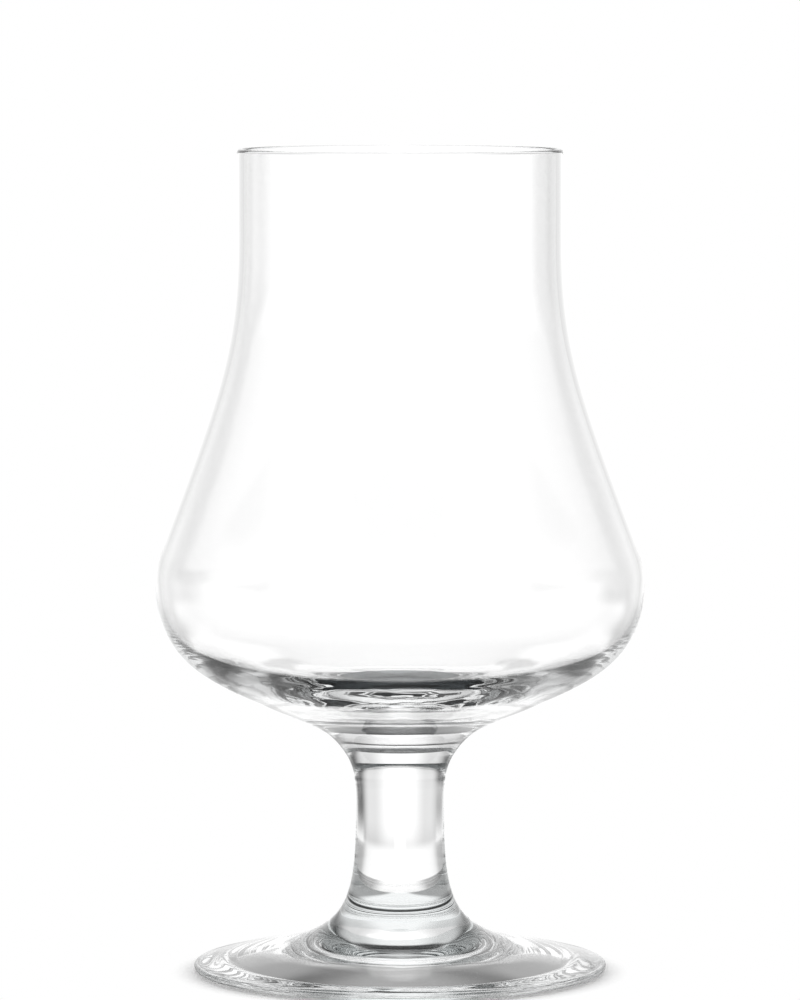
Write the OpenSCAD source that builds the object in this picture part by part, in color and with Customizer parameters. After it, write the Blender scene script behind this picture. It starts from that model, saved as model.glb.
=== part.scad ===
// Whisky nosing glass: a clear soda-lime glass with a tulip bowl, a short waisted stem and a
// round foot. The bowl, the stem and the foot are three gathers of glass that are fused face to
// face, so each joint is a flat disc and the outline runs smoothly across it.
// Origin: centre of the contact ring on the table, +Z up the axis of the glass.

/* [Foot] */
// Diameter of the foot over its rounded edge
foot_d = 62.6; // [58:0.1:68]
// Height of the joint between the foot and the stem
foot_h = 7.9; // [7:0.1:9.5]
// Radius of the fire-polished edge
foot_edge_r = 0.55; // [0.4:0.05:0.8]
// Height of the middle of that edge above the table
foot_edge_h = 1; // [0.9:0.05:1.4]
// Slope of the foot's upper face where it leaves the edge, in degrees
foot_slope = 14.6; // [11:0.1:18]
// Outer diameter of the ring that touches the table
rest_ring_d = 56.8; // [52:0.1:57]
// Width of the ring that touches the table
rest_ring_w = 2.2; // [1.5:0.1:3]
// Height of the hollow under the middle of the foot
kick_h = 2.2; // [1:0.1:2.8]
// Slope of the hollow where it meets that ring, in degrees
kick_slope = 20.5; // [14:0.5:24]

/* [Stem] */
// Length of the stem between its two joints
stem_h = 26.5; // [23:0.1:32]
// Diameter of the joint between the stem and the foot
stem_foot_d = 21.2; // [19:0.1:23]
// Slope of the outline at that joint, in degrees
stem_foot_slope = 40.6; // [35:0.1:46]
// Diameter of the stem at its waist
waist_d = 13.4; // [11:0.1:15]
// Height of the waist above the joint with the foot
waist_h = 16.75; // [14:0.05:18]
// Diameter of the joint between the stem and the bowl
neck_d = 18; // [16.5:0.1:19.5]
// Slope of the outline at that joint, in degrees
neck_slope = 52; // [47:0.5:57]

/* [Bowl] */
// Height of the bowl from its joint with the stem to the rim
bowl_h = 90.6; // [83:0.1:99]
// Diameter where the underside of the bowl is straightest
heel_d = 43.2; // [39:0.1:46]
// Height of that place above the joint with the stem
heel_h = 6.9; // [6.3:0.05:8]
// Slope of the underside there, in degrees
heel_slope = 25.5; // [22:0.5:29]
// Largest diameter of the bowl
belly_d = 74.2; // [72:0.1:78]
// Height of the largest diameter above the joint with the stem
belly_h = 25.5; // [23:0.1:28]
// Diameter where the shoulder turns from convex to concave
shoulder_d = 70.6; // [68:0.1:71.5]
// Height of that turn above the joint with the stem
shoulder_h = 32.65; // [31:0.05:35]
// Lean of the wall at that turn, in degrees from upright
shoulder_lean = 20.6; // [17:0.1:24]
// Outer diameter of the straight chimney
chimney_d = 49.2; // [46:0.1:54]
// Length of the straight chimney below the rim
chimney_l = 13.4; // [8:0.1:18]

/* [Glass thickness] */
// Wall at the rim and all along the chimney
rim_wall = 1.1; // [0.9:0.05:1.4]
// Wall at the shoulder
shoulder_wall = 0.95; // [0.8:0.05:1.3]
// Wall at the belly
belly_wall = 0.8; // [0.75:0.05:1.3]
// Diameter of the underside outside the place where the cavity's side is straightest
cavity_heel_d = 41.4; // [38:0.1:43]
// Slope of the cavity's side there, in degrees
cavity_slope = 28.5; // [25:0.5:31]
// Wall there, square to the surface
heel_wall = 2.45; // [2.1:0.05:3]
// Glass under the middle of the cavity, above the joint with the stem
base_t = 6.3; // [5.5:0.1:7.2]

/* [Hidden] */

// Steps along each curve of the outline, and facets of a full turn
curve_steps = 12;
edge_steps = 8;
round_sides = 96;

neck_z = foot_h + stem_h;
waist_z = foot_h + waist_h;
heel_z = neck_z + heel_h;
belly_z = neck_z + belly_h;
shoulder_z = neck_z + shoulder_h;
rim_z = neck_z + bowl_h;
chimney_z = rim_z - chimney_l;
floor_z = neck_z + base_t;
lip_r = rim_wall / 2;

stem_foot_r = stem_foot_d / 2;
waist_r = waist_d / 2;
neck_r = neck_d / 2;
heel_r = heel_d / 2;
cavity_heel_r = cavity_heel_d / 2;
belly_r = belly_d / 2;
shoulder_r = shoulder_d / 2;
chimney_r = chimney_d / 2;
foot_edge_x = foot_d / 2 - foot_edge_r;
rest_ring_r = rest_ring_d / 2;
rest_ring_inner_r = rest_ring_r - rest_ring_w;

// Headings of the outline on its way up, in degrees from straight out
upright = 90;
foot_top_heading = 180 - foot_slope;
stem_foot_heading = 180 - stem_foot_slope;
shoulder_heading = upright + shoulder_lean;
foot_edge_start = -60;

// Handle lengths of the curves, each as a share of the straight line between its two ends
even_share = 0.35;
long_share = 0.5;
short_share = 0.25;
foot_edge_share = 0.55;
neck_share = 0.32;
belly_share = 0.3;
kick_share = 0.15;
kick_ring_share = 0.47;
floor_share = 0.46;
floor_side_share = 0.45;
cavity_side_share = 0.32;
belly_inner_share = 0.56;

function heading(angle) = [cos(angle), sin(angle)];

// Points of a cubic curve from a to b, without a itself. It leaves a along the heading out and
// arrives at b along the heading in.
function curve(a, out, out_share, b, in, in_share) =
    let (span = norm(b - a),
         p = a + heading(out) * out_share * span,
         q = b - heading(in) * in_share * span)
    [for (i = [1 : curve_steps])
        let (t = i / curve_steps, u = 1 - t)
        a * u * u * u + 3 * p * u * u * t + 3 * q * u * t * t + b * t * t * t];

// Points of an arc about a centre, both ends included
function arc(centre, r, from, to) =
    [for (i = [0 : edge_steps])
        centre + heading(from + (to - from) * i / edge_steps) * r];

// The point that lies a wall's thickness inside the outline, square to its heading
function inside(point, angle, wall) = point + heading(angle + 90) * wall;

foot_joint = [stem_foot_r, foot_h];
waist = [waist_r, waist_z];
neck = [neck_r, neck_z];
heel = [heel_r, heel_z];
belly = [belly_r, belly_z];
shoulder = [shoulder_r, shoulder_z];
chimney = [chimney_r, chimney_z];

cavity_heel_drop = (heel_r - cavity_heel_r) * tan(heel_slope);
beside_heel = [cavity_heel_r, heel_z - cavity_heel_drop];
heel_inner = inside(beside_heel, heel_slope, heel_wall);
belly_inner = inside(belly, upright, belly_wall);
shoulder_inner = inside(shoulder, shoulder_heading, shoulder_wall);
chimney_inner = inside(chimney, upright, rim_wall);
floor_middle = [0, floor_z];

foot_edge = arc([foot_edge_x, foot_edge_h], foot_edge_r, foot_edge_start, 90 - foot_slope);

module turned(outline) {
    rotate_extrude($fn = round_sides) polygon(outline);
}

// Round foot: a hollow underside inside its contact ring, a fire-polished edge and a face that
// sweeps up to the stem
module foot() {
    ring = [rest_ring_inner_r, 0];
    color("lightcyan") turned(concat(
        [[0, kick_h]],
        curve([0, kick_h], 0, kick_share, ring, -kick_slope, kick_ring_share),
        [[rest_ring_r, 0]],
        foot_edge,
        curve(foot_edge[edge_steps], foot_top_heading, foot_edge_share,
              foot_joint, stem_foot_heading, short_share),
        [[0, foot_h]]));
}

// Solid stem: flares into the foot below and into the bowl above its waist
module stem() {
    color("azure") turned(concat(
        [[0, foot_h], foot_joint],
        curve(foot_joint, stem_foot_heading, short_share, waist, upright, long_share),
        curve(waist, upright, long_share, neck, neck_slope, even_share),
        [[0, neck_z]]));
}

// Bowl: heavy base, thin belly and straight chimney, with a rounded rim
module bowl() {
    outer = concat(
        curve(neck, neck_slope, neck_share, heel, heel_slope, long_share),
        curve(heel, heel_slope, even_share, belly, upright, long_share),
        curve(belly, upright, belly_share, shoulder, shoulder_heading, even_share),
        curve(shoulder, shoulder_heading, long_share, chimney, upright, even_share));
    inner = concat(
        curve(floor_middle, 0, floor_share, heel_inner, cavity_slope, floor_side_share),
        curve(heel_inner, cavity_slope, cavity_side_share,
              belly_inner, upright, belly_inner_share),
        curve(belly_inner, upright, belly_share, shoulder_inner, shoulder_heading, even_share),
        curve(shoulder_inner, shoulder_heading, long_share, chimney_inner, upright, even_share));
    lip = arc([chimney_r - lip_r, rim_z - lip_r], lip_r, 0, 180);
    color("aliceblue") turned(concat(
        [[0, neck_z], neck],
        outer,
        lip,
        [for (i = [len(inner) - 1 : -1 : 0]) inner[i]],
        [floor_middle]));
}

bowl();
stem();
foot();
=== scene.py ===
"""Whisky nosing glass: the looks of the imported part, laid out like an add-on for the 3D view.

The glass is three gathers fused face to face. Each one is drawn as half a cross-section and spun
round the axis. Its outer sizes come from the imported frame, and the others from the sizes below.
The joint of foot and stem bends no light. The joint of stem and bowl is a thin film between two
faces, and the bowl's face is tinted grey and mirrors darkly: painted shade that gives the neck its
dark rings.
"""

import math

import bpy
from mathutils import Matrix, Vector


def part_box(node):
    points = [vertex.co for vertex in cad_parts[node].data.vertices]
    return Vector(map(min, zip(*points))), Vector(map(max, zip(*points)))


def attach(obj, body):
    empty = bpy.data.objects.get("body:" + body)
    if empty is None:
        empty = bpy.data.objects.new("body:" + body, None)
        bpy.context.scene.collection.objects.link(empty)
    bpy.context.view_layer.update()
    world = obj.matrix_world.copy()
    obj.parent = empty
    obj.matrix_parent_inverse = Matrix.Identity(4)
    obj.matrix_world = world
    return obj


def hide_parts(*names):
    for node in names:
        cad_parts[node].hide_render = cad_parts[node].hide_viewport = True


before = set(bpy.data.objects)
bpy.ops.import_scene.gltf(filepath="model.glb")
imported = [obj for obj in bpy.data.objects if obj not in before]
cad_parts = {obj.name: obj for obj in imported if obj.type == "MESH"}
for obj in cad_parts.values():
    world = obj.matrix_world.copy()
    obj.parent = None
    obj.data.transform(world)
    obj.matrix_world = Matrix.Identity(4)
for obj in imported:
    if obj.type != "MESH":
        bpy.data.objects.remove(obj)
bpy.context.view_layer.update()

bl_info = {
    "name": "Whisky Nosing Glass",
    "version": (1, 0, 0),
    "blender": (4, 5, 0),
    "location": "View3D > Sidebar > Nosing Glass",
    "description": "Clear stemmed nosing glass: blown bowl, waisted stem and pressed foot",
    "category": "Object",
}

MM = 0.001

foot_low, foot_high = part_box("foot")
stem_low, stem_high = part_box("stem")
bowl_low, bowl_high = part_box("bowl")

# Steps along each curve of a cross-section, and facets of a full turn
OUTLINE_STEPS = 24
ROUND_SIDES = 256

# Headings of an outline, from straight out, in radians
OUTWARD = 0.0
UPRIGHT = math.radians(90)
INWARD = math.radians(180)

# Reach of the handles at a knot, each as a share of the straight line between two knots
EVEN_SHARE = 0.35
LONG_SHARE = 0.5
SHORT_SHARE = 0.25
NECK_SHARE = 0.32
BELLY_SHARE = 0.3
KICK_SHARE = 0.15
KICK_RING_SHARE = 0.47
UNDER_EDGE_SHARE = 0.2
CAVITY_SIDE_SHARE = 0.32
BELLY_INNER_SHARE = 0.56
FLOOR_SIDE_SHARE = 0.45

# Heading from its middle at which the foot's polished edge begins
FOOT_EDGE_START = math.radians(-60)

# Points nearer than this are one point, and a face this near a joint's height lies on the joint
TOUCHING = 0.001 * MM

# Faces that meet at more than this angle keep a sharp edge
SHARP_ANGLE = math.radians(32)

# Light is reflected inside thick glass many times before it leaves
BOUNCES = 64

# A ray's count of diffuse bounces is whole, so this tells none from some
ANY_DIFFUSE = 0.5


def linear(code):
    """A hex colour as Blender's linear one."""
    parts = [int(code[i:i + 2], 16) / 255 for i in (0, 2, 4)]
    return [c / 12.92 if c <= 0.04045 else ((c + 0.055) / 1.055) ** 2.4 for c in parts] + [1.0]


def length(name, description, default):
    """A size of the glass, in metres."""
    return bpy.props.FloatProperty(
        name=name, description=description, default=default, min=0.0,
        precision=5, unit="LENGTH", subtype="DISTANCE")


def slope(name, description, default):
    """An angle of the glass, given in degrees."""
    return bpy.props.FloatProperty(
        name=name, description=description, default=math.radians(default), subtype="ANGLE")


def share(name, description, default):
    """How far a curve's handle reaches, as a share of the line between the curve's ends."""
    return bpy.props.FloatProperty(
        name=name, description=description, default=default, min=0.0, max=1.0, subtype="FACTOR")


def colour(name, description, code):
    """A colour, given in hex."""
    return bpy.props.FloatVectorProperty(
        name=name, description=description, default=linear(code)[:3], size=3,
        min=0.0, max=1.0, subtype="COLOR")


class NosingGlassSizes(bpy.types.PropertyGroup):
    """Sizes of the glass. Those that the frame knows are read from it."""

    foot_d: length("Foot", "Diameter of the foot over its edge", foot_high.x - foot_low.x)
    foot_h: length("Foot height", "Height of the joint of foot and stem", stem_low.z)
    foot_edge_r: length("Foot edge", "Radius of the fire-polished edge", 0.55 * MM)
    foot_edge_h: length("Edge height", "Height of the middle of that edge", 1.0 * MM)
    foot_slope: slope("Foot slope", "Slope of the upper face at the edge", 14.6)
    foot_edge_share: share("Foot sweep", "Reach of the upper face from the edge", 0.55)
    rest_ring_d: length("Rest ring", "Outer diameter of the ring on the table", 56.8 * MM)
    rest_ring_w: length("Ring width", "Width of the ring on the table", 2.2 * MM)
    ring_round: length("Ring rounding", "How far the ring's corners are rounded", 2.0 * MM)
    kick_h: length("Kick", "Height of the hollow under the foot", 2.2 * MM)
    kick_slope: slope("Kick slope", "Slope of the hollow at the ring", 20.5)

    stem_foot_d: length("Stem base", "Diameter of the stem at the foot", stem_high.x - stem_low.x)
    stem_foot_slope: slope("Stem base slope", "Slope of the outline at the foot", 40.6)
    waist_d: length("Waist", "Diameter of the stem at its waist", 13.4 * MM)
    waist_h: length("Waist height", "Height of the waist above the foot's joint", 16.75 * MM)
    neck_d: length("Neck", "Diameter of the joint of stem and bowl", 18.0 * MM)
    neck_z: length("Neck height", "Height of that joint above the table", bowl_low.z)
    neck_slope: slope("Neck slope", "Slope of the outline at that joint", 52.0)

    rim_z: length("Height", "Height of the rim above the table", bowl_high.z)
    heel_d: length("Heel", "Diameter where the bowl's underside is straightest", 43.2 * MM)
    heel_h: length("Heel height", "Height of that place above the neck", 6.9 * MM)
    heel_slope: slope("Heel slope", "Slope of the underside there", 25.5)
    belly_d: length("Belly", "Largest diameter of the bowl", bowl_high.x - bowl_low.x)
    belly_h: length("Belly height", "Height of that diameter above the neck", 25.5 * MM)
    shoulder_d: length("Shoulder", "Diameter where the shoulder turns concave", 70.6 * MM)
    shoulder_h: length("Shoulder height", "Height of that turn above the neck", 32.65 * MM)
    shoulder_lean: slope("Shoulder lean", "Lean of the wall at that turn", 20.6)
    chimney_d: length("Chimney", "Outer diameter of the straight chimney", 49.2 * MM)
    chimney_l: length("Chimney length", "Length of the straight chimney", 13.4 * MM)

    rim_wall: length("Rim wall", "Glass thickness at the rim", 1.1 * MM)
    shoulder_wall: length("Shoulder wall", "Glass thickness at the shoulder", 0.95 * MM)
    belly_wall: length("Belly wall", "Glass thickness at the belly", 0.8 * MM)
    cavity_heel_d: length("Cavity heel", "Diameter outside the cavity's straightest place", 41.4 * MM)
    cavity_heel_slope: slope("Cavity slope", "Slope of the cavity there", 28.5)
    heel_wall: length("Heel wall", "Glass thickness there, square to the surface", 2.45 * MM)
    base_t: length("Base", "Glass under the middle of the cavity, above the neck", 6.3 * MM)
    floor_share: share("Floor sweep", "Reach of the cavity's floor from its middle", 0.46)

    seam_lap: length("Seam lap", "How far the foot and the stem reach into each other", 0.01 * MM)
    neck_film: length("Neck film", "Thin film left between the stem and the bowl", 0.02 * MM)


class NosingGlassLooks(bpy.types.PropertyGroup):
    """Colours and clearness of the glass, and the colour of the table."""

    glass_tint: colour("Glass tint", "Colour that light takes on deep in the glass", "F2F7F8")
    glass_depth: bpy.props.FloatProperty(
        name="Glass depth", description="How fast the tint takes hold, per metre of glass",
        default=3.0, min=0.0)
    glass_index: bpy.props.FloatProperty(
        name="Refractive index", description="Refractive index of soda-lime glass",
        default=1.52, min=1.0)
    seam_tint: colour("Seam tint", "Colour of light through the joint of the foot", "EEF0F0")
    # The film's tint and shine are painted shade: a grey tint and a darkened mirror that draw the
    # neck's dark rings
    film_painted_shade_tint: colour("Painted film shade", "Colour of light through the film at the neck", "8A9092")
    film_painted_dark_mirror: colour("Painted film dark mirror", "Colour that the film reflects at a slant", "34383A")
    table_white: colour("Table", "Colour of the table under the glass", "FEFEFE")


def heading(angle, reach):
    """A step of some reach along a heading of the cross-section, which lies in the XZ plane."""
    return Vector((math.cos(angle) * reach, 0.0, math.sin(angle) * reach))


def place(radius, height):
    """A point of the cross-section."""
    return Vector((radius, 0.0, height))


class Outline:
    """Half a cross-section, drawn as Bezier knots from the axis round to the axis."""

    def __init__(self, start):
        self.knots = [[start, start, start]]

    @property
    def end(self):
        return self.knots[-1][1]

    def curve(self, out, out_share, end, into, into_share):
        """Leaves along one heading and arrives at the end along another."""
        span = (end - self.end).length
        self.knots[-1][2] = self.end + heading(out, out_share * span)
        self.knots.append([end - heading(into, into_share * span), end, end])

    def line(self, end):
        """Runs straight to the end."""
        third = (end - self.end) / 3
        self.knots[-1][2] = self.end + third
        self.knots.append([end - third, end, end])

    def arc(self, centre, radius, start, stop):
        """Runs round a centre from one angle to another, in two equal parts."""
        half = (stop - start) / 2
        reach = 4 / 3 * math.tan(half / 4) * radius
        for turn in (start, start + half):
            end = centre + heading(turn + half, radius)
            self.knots[-1][2] = self.end + heading(turn + UPRIGHT, reach)
            self.knots.append([end - heading(turn + half + UPRIGHT, reach), end, end])


def spin_gather(name, outline):
    """Draws the outline as a Bezier curve, makes it a mesh and spins it into a closed piece."""
    bpy.ops.object.select_all(action="DESELECT")
    bpy.ops.curve.primitive_bezier_curve_add(radius=outline.knots[1][1].length)
    line = bpy.context.object
    line.data.dimensions = "3D"
    line.data.resolution_u = OUTLINE_STEPS
    knots = line.data.splines[0].bezier_points
    knots.add(len(outline.knots) - len(knots))
    for knot, (arriving, point, leaving) in zip(knots, outline.knots):
        knot.handle_left_type = "FREE"
        knot.handle_right_type = "FREE"
        knot.co = point
        knot.handle_left = arriving
        knot.handle_right = leaving
    bpy.ops.object.convert(target="MESH")
    piece = bpy.context.object
    piece.name = name
    piece.data.name = name
    bpy.ops.object.mode_set(mode="EDIT")
    bpy.ops.mesh.select_all(action="SELECT")
    bpy.ops.mesh.spin(steps=ROUND_SIDES, angle=math.tau, center=(0, 0, 0), axis=(0, 0, 1))
    bpy.ops.mesh.select_all(action="SELECT")
    bpy.ops.mesh.remove_doubles(threshold=TOUCHING)
    bpy.ops.mesh.normals_make_consistent(inside=False)
    bpy.ops.mesh.select_mode(type="EDGE")
    bpy.ops.mesh.select_all(action="DESELECT")
    bpy.ops.mesh.select_non_manifold()
    bpy.ops.object.mode_set(mode="OBJECT")
    if any(edge.select for edge in piece.data.edges):
        raise RuntimeError(f"{name} isn't closed")
    bpy.ops.object.shade_smooth_by_angle(angle=SHARP_ANGLE)
    return piece


def dress(piece, glass, joint, joint_z):
    """Gives a piece its glass, and the flat face at the height of a joint the joint's look."""
    piece.data.materials.append(glass)
    piece.data.materials.append(joint)
    corners = piece.data.vertices
    for face in piece.data.polygons:
        if all(abs(corners[i].co.z - joint_z) < TOUCHING for i in face.vertices):
            face.material_index = 1
            face.use_smooth = False


def add(tree, kind, links=(), **settings):
    """Adds a node, sets its properties and sockets, and links other sockets into it."""
    node = tree.nodes.new(kind)
    for key, value in settings.items():
        if hasattr(node, key):
            setattr(node, key, value)
        else:
            node.inputs[key.replace("_", " ")].default_value = value
    for socket, source in dict(links).items():
        tree.links.new(source, node.inputs[socket])
    return node


def feed(tree, socket, value):
    """Links another socket into a socket, or sets a number on it."""
    if isinstance(value, bpy.types.NodeSocket):
        tree.links.new(value, socket)
    else:
        socket.default_value = value


def calc(tree, operation, *values):
    """A Math node of numbers and sockets, and its result."""
    node = add(tree, "ShaderNodeMath", operation=operation)
    for socket, value in zip(node.inputs, values):
        feed(tree, socket, value)
    return node.outputs["Value"]


def ramp(tree, value, outside, within):
    """Runs softly from 0 at one value to 1 at the other."""
    low, high = sorted((outside, within))
    rise = add(tree, "ShaderNodeMapRange", {"Value": value}, interpolation_type="SMOOTHSTEP",
               From_Min=low, From_Max=high).outputs["Result"]
    return rise if outside < within else calc(tree, "SUBTRACT", 1.0, rise)


def blend(tree, factor, first, second):
    """Mixes two levels, numbers or sockets."""
    mix = add(tree, "ShaderNodeMix", {"Factor": factor})
    # The third and fourth sockets take its two numbers
    feed(tree, mix.inputs[2], first)
    feed(tree, mix.inputs[3], second)
    return mix.outputs[0]


def paint(tree, azimuth, reach, level, cards):
    """Lays soft-edged cards over a plain level, by azimuth and by elevation or distance."""
    for middle, half, side_soft, low, high, soft, card in cards:
        middle, half, side_soft = (math.radians(v) for v in (middle, half, side_soft))
        side = calc(tree, "SUBTRACT", azimuth, middle)
        side = calc(tree, "ABSOLUTE", calc(tree, "WRAP", side, math.pi, -math.pi))
        seen = ramp(tree, side, half + side_soft, half)
        seen = calc(tree, "MULTIPLY", seen, ramp(tree, reach, low - soft, low))
        seen = calc(tree, "MULTIPLY", seen, ramp(tree, reach, high + soft, high))
        level = blend(tree, seen, level, card)
    return level


def clear_glass(name, looks, ripple_depth, ripple_width, swell_depth, swell_width, calm=None):
    """Clear soda-lime glass with the unevenness that its making leaves in the surface.

    The broad swells die away between the two heights of calm, where they are given.
    """
    material = bpy.data.materials.new(name)
    material.use_nodes = True
    tree = material.node_tree
    tree.nodes.clear()
    where = add(tree, "ShaderNodeTexCoord").outputs["Object"]
    swell = add(tree, "ShaderNodeTexNoise", {"Vector": where},
                Scale=1 / swell_width, Detail=1.0, Roughness=0.4, Distortion=0.8)
    ripple = add(tree, "ShaderNodeTexNoise", {"Vector": where},
                 Scale=1 / ripple_width, Detail=0.0, Distortion=0.6)
    swelling = swell.outputs["Fac"]
    if calm:
        height = add(tree, "ShaderNodeSeparateXYZ", {"Vector": where}).outputs["Z"]
        calm_from, calm_to = calm
        uneven = ramp(tree, height, calm_to, calm_from)
        swelling = calc(tree, "MULTIPLY", swelling, uneven)
    broad = add(tree, "ShaderNodeBump", {"Height": swelling},
                Strength=1.0, Distance=swell_depth)
    fine = add(tree, "ShaderNodeBump",
               {"Height": ripple.outputs["Fac"], "Normal": broad.outputs["Normal"]},
               Strength=1.0, Distance=ripple_depth)
    surface = add(tree, "ShaderNodeBsdfPrincipled", {"Normal": fine.outputs["Normal"]},
                  Roughness=0.0, IOR=looks.glass_index)
    surface.inputs["Base Color"].default_value = linear("FFFFFF")
    surface.inputs["Transmission Weight"].default_value = 1.0
    body = add(tree, "ShaderNodeVolumeAbsorption", Density=looks.glass_depth)
    body.inputs["Color"].default_value = (*looks.glass_tint, 1.0)
    add(tree, "ShaderNodeOutputMaterial",
        {"Surface": surface.outputs["BSDF"], "Volume": body.outputs["Volume"]})
    return material


def fused_seam(looks):
    """The flat face where two gathers are fused: glass against glass, which bends no light."""
    name = "Fused glass seam"
    if name in bpy.data.materials:
        return bpy.data.materials[name]
    material = bpy.data.materials.new(name)
    material.use_nodes = True
    surface = material.node_tree.nodes["Principled BSDF"]
    surface.inputs["Base Color"].default_value = (*looks.seam_tint, 1.0)
    surface.inputs["Roughness"].default_value = 0.0
    surface.inputs["IOR"].default_value = 1.0
    surface.inputs["Transmission Weight"].default_value = 1.0
    return material


def painted_shade_film_face(looks):
    """The bowl's side of the film at the neck: grey glass, and a dull mirror at a slant. Both are
    painted shade that draws the neck's dark rings.
    """
    material = bpy.data.materials.new("Dull joint face")
    material.use_nodes = True
    tree = material.node_tree
    tree.nodes.clear()
    slant = add(tree, "ShaderNodeFresnel", IOR=looks.glass_index)
    through = add(tree, "ShaderNodeBsdfRefraction", Color=(*looks.film_painted_shade_tint, 1.0),
                  Roughness=0.0, IOR=looks.glass_index)
    mirror = add(tree, "ShaderNodeBsdfGlossy", Color=(*looks.film_painted_dark_mirror, 1.0), Roughness=0.0)
    surface = add(tree, "ShaderNodeMixShader", {
        "Fac": slant.outputs["Fac"], 1: through.outputs["BSDF"], 2: mirror.outputs["BSDF"]})
    add(tree, "ShaderNodeOutputMaterial", {"Surface": surface.outputs["Shader"]})
    return material


class NOSING_OT_foot(bpy.types.Operator):
    """Spin the pressed foot: hollow underside, rest ring, polished edge and rising upper face"""

    bl_idname = "nosing.foot"
    bl_label = "Foot"

    def execute(self, context):
        s = context.scene.nosing_glass
        looks = context.scene.nosing_looks
        edge_middle = place(s.foot_d / 2 - s.foot_edge_r, s.foot_edge_h)
        ring_r = s.rest_ring_d / 2
        seam_z = s.foot_h + s.seam_lap

        # The ring's inner corner is rounded over a longer way on the hollow than on the flat
        inner_corner = place(ring_r - s.rest_ring_w, 0)
        hollow_end = inner_corner - heading(-s.kick_slope, s.ring_round)
        flat_start = inner_corner + place(s.ring_round / 4, 0)
        flat_end = place(ring_r - s.ring_round / 2, 0)

        outline = Outline(place(0, s.kick_h))
        outline.curve(OUTWARD, KICK_SHARE, hollow_end, -s.kick_slope, KICK_RING_SHARE)
        outline.curve(-s.kick_slope, LONG_SHARE, flat_start, OUTWARD, LONG_SHARE)
        outline.line(flat_end)
        outline.curve(OUTWARD, LONG_SHARE, edge_middle + heading(FOOT_EDGE_START, s.foot_edge_r),
                      FOOT_EDGE_START + UPRIGHT, UNDER_EDGE_SHARE)
        outline.arc(edge_middle, s.foot_edge_r, FOOT_EDGE_START, UPRIGHT - s.foot_slope)
        outline.curve(INWARD - s.foot_slope, s.foot_edge_share,
                      place(s.stem_foot_d / 2, seam_z), INWARD - s.stem_foot_slope, SHORT_SHARE)
        outline.line(place(0, seam_z))
        foot = spin_gather("pressed_foot", outline)
        # Pressed in a mould and spun flat, so its faces keep shallow swells and chill ripples
        glass = clear_glass(
            "Pressed soda-lime glass", looks, ripple_depth=0.001 * MM, ripple_width=3.5 * MM,
            swell_depth=0.3 * MM, swell_width=20 * MM)
        dress(foot, glass, fused_seam(looks), seam_z)
        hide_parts("foot")
        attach(foot, "root")
        return {"FINISHED"}


class NOSING_OT_stem(bpy.types.Operator):
    """Spin the solid stem: flared into the foot, waisted, and flared into the bowl"""

    bl_idname = "nosing.stem"
    bl_label = "Stem"

    def execute(self, context):
        s = context.scene.nosing_glass
        looks = context.scene.nosing_looks
        outline = Outline(place(0, s.foot_h))
        outline.line(place(s.stem_foot_d / 2, s.foot_h))
        outline.curve(INWARD - s.stem_foot_slope, SHORT_SHARE,
                      place(s.waist_d / 2, s.foot_h + s.waist_h), UPRIGHT, LONG_SHARE)
        outline.curve(UPRIGHT, LONG_SHARE,
                      place(s.neck_d / 2, s.neck_z), s.neck_slope, EVEN_SHARE)
        outline.line(place(0, s.neck_z))
        stem = spin_gather("drawn_stem", outline)
        # Drawn hot from the gather, so it is nearly smooth
        glass = clear_glass(
            "Drawn soda-lime glass", looks, ripple_depth=0.001 * MM, ripple_width=3 * MM,
            swell_depth=0.01 * MM, swell_width=12 * MM)
        dress(stem, glass, fused_seam(looks), s.foot_h)
        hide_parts("stem")
        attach(stem, "root")
        return {"FINISHED"}


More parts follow.
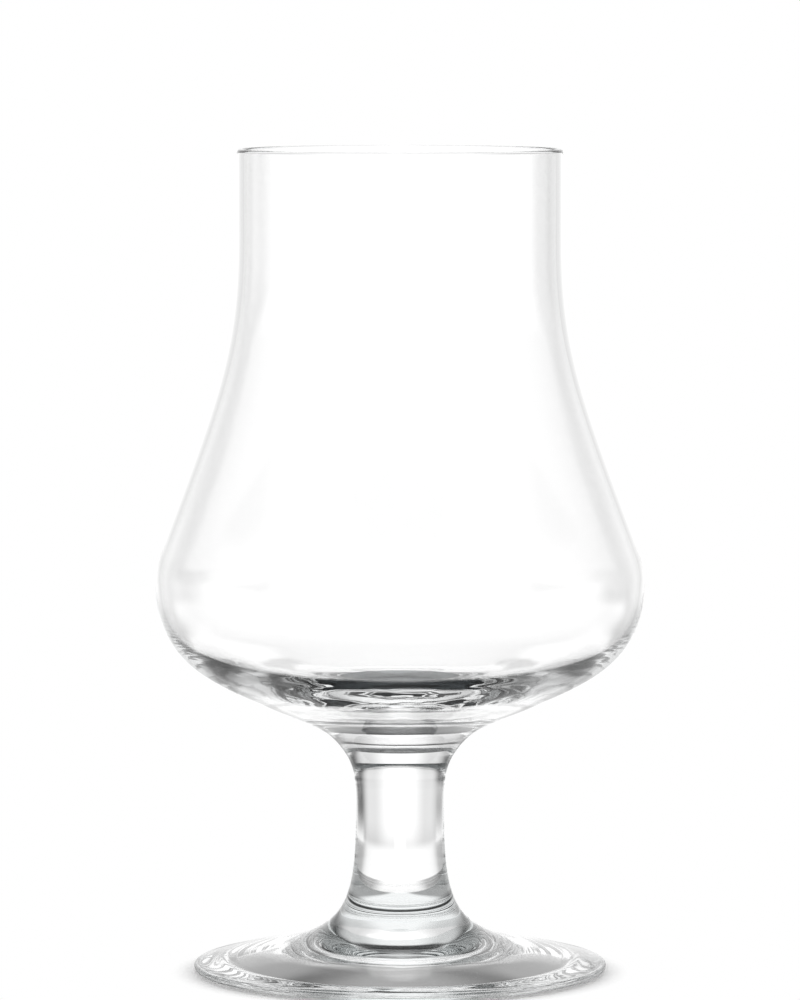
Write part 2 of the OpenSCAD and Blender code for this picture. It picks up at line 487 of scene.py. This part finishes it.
class NOSING_OT_bowl(bpy.types.Operator):
    """Spin the blown bowl: heavy base, thin belly, straight chimney and rounded rim"""

    bl_idname = "nosing.bowl"
    bl_label = "Bowl"

    def execute(self, context):
        s = context.scene.nosing_glass
        looks = context.scene.nosing_looks
        seam_z = s.neck_z + s.neck_film
        leaning = UPRIGHT + s.shoulder_lean
        neck = place(s.neck_d / 2, seam_z)
        heel = place(s.heel_d / 2, s.neck_z + s.heel_h)
        belly = place(s.belly_d / 2, s.neck_z + s.belly_h)
        shoulder = place(s.shoulder_d / 2, s.neck_z + s.shoulder_h)
        chimney = place(s.chimney_d / 2, s.rim_z - s.chimney_l)
        lip_r = s.rim_wall / 2
        lip_middle = place(s.chimney_d / 2 - lip_r, s.rim_z - lip_r)

        # The cavity's corners lie the wall's thickness inside the outline, square to it
        nearer = s.heel_d / 2 - s.cavity_heel_d / 2
        beside_heel = heel - heading(s.heel_slope, nearer / math.cos(s.heel_slope))
        heel_in = beside_heel + heading(s.heel_slope + UPRIGHT, s.heel_wall)
        belly_in = belly - place(s.belly_wall, 0)
        shoulder_in = shoulder + heading(leaning + UPRIGHT, s.shoulder_wall)
        chimney_in = chimney - place(s.rim_wall, 0)
        floor_middle = place(0, s.neck_z + s.base_t)

        outline = Outline(place(0, seam_z))
        outline.line(neck)
        outline.curve(s.neck_slope, NECK_SHARE, heel, s.heel_slope, LONG_SHARE)
        outline.curve(s.heel_slope, EVEN_SHARE, belly, UPRIGHT, LONG_SHARE)
        outline.curve(UPRIGHT, BELLY_SHARE, shoulder, leaning, EVEN_SHARE)
        outline.curve(leaning, LONG_SHARE, chimney, UPRIGHT, EVEN_SHARE)
        outline.line(lip_middle + heading(OUTWARD, lip_r))
        outline.arc(lip_middle, lip_r, OUTWARD, INWARD)
        outline.line(chimney_in)
        outline.curve(-UPRIGHT, EVEN_SHARE, shoulder_in, leaning - INWARD, LONG_SHARE)
        outline.curve(leaning - INWARD, EVEN_SHARE, belly_in, -UPRIGHT, BELLY_SHARE)
        outline.curve(-UPRIGHT, BELLY_INNER_SHARE,
                      heel_in, s.cavity_heel_slope - INWARD, CAVITY_SIDE_SHARE)
        outline.curve(s.cavity_heel_slope - INWARD, FLOOR_SIDE_SHARE,
                      floor_middle, INWARD, s.floor_share)
        bowl = spin_gather("blown_bowl", outline)
        # Blown and fire-polished: the walls are all but smooth, and the thick base swells a little
        glass = clear_glass(
            "Blown soda-lime glass", looks, ripple_depth=0.0003 * MM, ripple_width=4 * MM,
            swell_depth=0.06 * MM, swell_width=9 * MM, calm=(44 * MM, 50 * MM))
        # The bowl's face at the neck joint carries painted shade: a grey tint and a dark mirror
        dress(bowl, glass, painted_shade_film_face(looks), seam_z)
        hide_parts("bowl")
        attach(bowl, "root")
        return {"FINISHED"}


class NOSING_OT_stage(bpy.types.Operator):
    """Set up the pale floor, the studio round the glass and the camera"""

    bl_idname = "nosing.stage"
    bl_label = "Stage"

    def execute(self, context):
        lay_floor(context.scene.nosing_looks)
        build_studio(context.scene)
        stand_camera(context.scene)
        context.scene.view_settings.view_transform = "Standard"
        for kind in ("max_bounces", "glossy_bounces", "transmission_bounces"):
            setattr(context.scene.cycles, kind, BOUNCES)
        return {"FINISHED"}


# What glass shows of the studio, by direction in degrees: azimuth of a card's middle (0 is behind
# the glass, 90 to the right), half its width, softness of its sides, lowest and highest
# elevation, softness there, and its level. A later card lies over an earlier one.
STUDIO_LEVEL = 0.42
STUDIO = [
    # Grey at the sides below the horizon, and pale paper on the camera's side
    (-85, 45, 20, -80, 0, 6, 0.46),
    (85, 45, 20, -80, 0, 6, 0.24),
    (180, 75, 12, -12, 5, 4, 0.90),
    # Black cards above the horizon, left and right of the paper behind, and over it
    (-60, 50, 8, 6, 60, 8, 0.10),
    (60, 50, 8, 6, 60, 8, 0.02),
    (0, 100, 10, 34, 75, 10, 0.04),
    # A narrow black card low on the right, and white strips at both sides
    (58, 12, 12, -10, 0, 6, 0.06),
    (-90, 12, 14, -12, 4, 5, 1.00),
    (90, 12, 14, -12, 4, 5, 1.00),
    # Paper behind the glass, greyer at its two lower corners
    (0, 32, 20, -90, 22, 12, 0.78),
    (20, 14, 8, -30, -12, 4, 0.62),
    (-20, 14, 8, -30, -12, 4, 0.68),
    # White below, where glass shows the table
    (180, 132, 8, -90, -12, 5, 1.05),
    (0, 180, 1, -90, -28, 5, 1.05),
    # The bright middle of the paper, and its thin foot
    (0, 8, 18, -7, 26, 8, 1.14),
    (0, 3, 3, -90, 0, 6, 1.14),
]

# The same for the table close to the glass as glass shows it, painted shade and painted light rather
# than lit, by azimuth and by distance from the axis in mm
TABLE_LEVEL = 0.90
FAR = 999
TABLE = [
    # Painted shadow under the foot, deeper at its sides
    (0, 180, 1, -1, 31, 3, 0.46),
    (-90, 50, 30, 16, 30, 5, 0.18),
    (90, 50, 30, 16, 30, 5, 0.24),
    # Painted shade past the foot, behind it on the left and right
    (-56, 14, 12, 36, 90, 8, 0.60),
    (56, 14, 12, 36, 90, 8, 0.50),
    # Painted light: the bright paper behind, as the table under the foot and past it shows it
    (0, 8, 10, 4, 32, 3, 1.14),
    (0, 10, 36, 33, FAR, 3, 1.14),
]

# The table's disc, which lies just under the foot so that the two never touch
TABLE_SIDES = 128
TABLE_RADIUS = 600 * MM
TABLE_DROP = 0.05 * MM

# Distances from the axis between which the sheet that takes the shadow turns to plain white, and
# the table's painted levels of light and shade seen through glass give way to the studio's
SHEET_EDGE = (31 * MM, 35 * MM)
TABLE_EDGE = (80 * MM, 110 * MM)

# The camera's distance and height in heights of the glass, its tilt, and its lens and sensor in mm
CAMERA_AWAY = 7.35
CAMERA_UP = 1.176
CAMERA_TILT = math.radians(4.672)
CAMERA_LENS = 219.3
CAMERA_SENSOR = 36


def lay_floor(looks):
    """A white table with the shadow of the glass, plain white away from it. Through glass it shows
    painted shade and painted light instead.
    """
    bpy.ops.object.select_all(action="DESELECT")
    bpy.ops.mesh.primitive_circle_add(
        vertices=TABLE_SIDES, radius=TABLE_RADIUS, fill_type="NGON", location=(0, 0, -TABLE_DROP))
    table = bpy.context.object
    table.name = "studio_table"
    material = bpy.data.materials.new("White laminate table")
    material.use_nodes = True
    tree = material.node_tree
    tree.nodes.clear()
    where = add(tree, "ShaderNodeTexCoord").outputs["Object"]
    axes = add(tree, "ShaderNodeSeparateXYZ", {"Vector": where}).outputs
    distance = add(tree, "ShaderNodeVectorMath", {0: where}, operation="LENGTH").outputs["Value"]
    azimuth = calc(tree, "ARCTAN2", axes["X"], axes["Y"])

    sheet = add(tree, "ShaderNodeBsdfPrincipled", Roughness=0.9)
    sheet.inputs["Base Color"].default_value = (*looks.table_white, 1.0)
    sheet.inputs["Specular IOR Level"].default_value = 0.0
    paper = add(tree, "ShaderNodeEmission", Strength=1.0)
    laid = add(tree, "ShaderNodeMixShader", {
        "Fac": ramp(tree, distance, *SHEET_EDGE),
        1: sheet.outputs["BSDF"], 2: paper.outputs["Emission"]})

    # Through glass the table glows with painted shade and painted light, and past its edge the studio
    # is seen
    cards = [(*card[:3], *(v * MM for v in card[3:6]), card[6]) for card in TABLE]
    near = add(tree, "ShaderNodeEmission", {
        "Color": paint(tree, azimuth, distance, TABLE_LEVEL, cards)}, Strength=1.0)
    clear = add(tree, "ShaderNodeBsdfTransparent")
    through = add(tree, "ShaderNodeMixShader", {
        "Fac": ramp(tree, distance, *TABLE_EDGE),
        1: near.outputs["Emission"], 2: clear.outputs["BSDF"]})

    light = add(tree, "ShaderNodeLightPath").outputs
    bent = calc(tree, "MAXIMUM", light["Is Glossy Ray"], light["Is Transmission Ray"])
    direct = calc(tree, "LESS_THAN", light["Diffuse Depth"], ANY_DIFFUSE)
    bent = calc(tree, "MULTIPLY", bent, direct)
    shown = add(tree, "ShaderNodeMixShader", {
        "Fac": bent, 1: laid.outputs["Shader"], 2: through.outputs["Shader"]})
    add(tree, "ShaderNodeOutputMaterial", {"Surface": shown.outputs["Shader"]})
    table.data.materials.append(material)


def build_studio(scene):
    """White paper behind the glass, and cards and gaps of other levels round it."""
    world = bpy.data.worlds.new("Photo studio")
    scene.world = world
    world.use_nodes = True
    # Sampled by the surfaces alone, so that the table's light is the plain white it sees
    world.cycles.sampling_method = "NONE"
    tree = world.node_tree
    tree.nodes.clear()
    where = add(tree, "ShaderNodeTexCoord").outputs["Generated"]
    axes = add(tree, "ShaderNodeSeparateXYZ", {"Vector": where}).outputs
    azimuth = calc(tree, "ARCTAN2", axes["X"], axes["Y"])
    elevation = calc(tree, "ARCSINE", axes["Z"])
    cards = [(*card[:3], *(math.radians(v) for v in card[3:6]), card[6]) for card in STUDIO]
    level = paint(tree, azimuth, elevation, STUDIO_LEVEL, cards)
    # The camera and the table see plain white paper all round
    light = add(tree, "ShaderNodeLightPath").outputs
    plain = calc(tree, "GREATER_THAN", light["Diffuse Depth"], ANY_DIFFUSE)
    plain = calc(tree, "MAXIMUM", light["Is Camera Ray"], plain)
    back = add(tree, "ShaderNodeBackground", {"Color": blend(tree, plain, level, 1.0)},
               Strength=1.0)
    add(tree, "ShaderNodeOutputWorld", {"Surface": back.outputs["Background"]})


def stand_camera(scene):
    """The photograph's viewpoint: a little above the middle of the glass, seven heights away."""
    height = scene.nosing_glass.rim_z
    bpy.ops.object.camera_add(
        location=(0, -CAMERA_AWAY * height, CAMERA_UP * height),
        rotation=(UPRIGHT - CAMERA_TILT, 0, 0))
    camera = bpy.context.object
    camera.data.sensor_width = CAMERA_SENSOR
    camera.data.lens = CAMERA_LENS
    scene.camera = camera


class NOSING_PT_panel(bpy.types.Panel):
    """Lists the pieces of the glass and its stage"""

    bl_label = "Nosing Glass"
    bl_idname = "NOSING_PT_panel"
    bl_space_type = "VIEW_3D"
    bl_region_type = "UI"
    bl_category = "Nosing Glass"

    def draw(self, context):
        for operator in PIECES:
            self.layout.operator(operator.bl_idname)
        for settings in (context.scene.nosing_glass, context.scene.nosing_looks):
            for name in settings.bl_rna.properties.keys():
                if name not in ("rna_type", "name"):
                    self.layout.prop(settings, name)


PIECES = (NOSING_OT_foot, NOSING_OT_stem, NOSING_OT_bowl, NOSING_OT_stage)
CLASSES = (NosingGlassSizes, NosingGlassLooks, *PIECES, NOSING_PT_panel)


def register():
    for cls in CLASSES:
        bpy.utils.register_class(cls)
    bpy.types.Scene.nosing_glass = bpy.props.PointerProperty(type=NosingGlassSizes)
    bpy.types.Scene.nosing_looks = bpy.props.PointerProperty(type=NosingGlassLooks)


def unregister():
    del bpy.types.Scene.nosing_looks
    del bpy.types.Scene.nosing_glass
    for cls in reversed(CLASSES):
        bpy.utils.unregister_class(cls)


def main():
    register()
    bpy.ops.nosing.foot()
    bpy.ops.nosing.stem()
    bpy.ops.nosing.bowl()
    bpy.ops.nosing.stage()


if __name__ == "__main__":
    main()
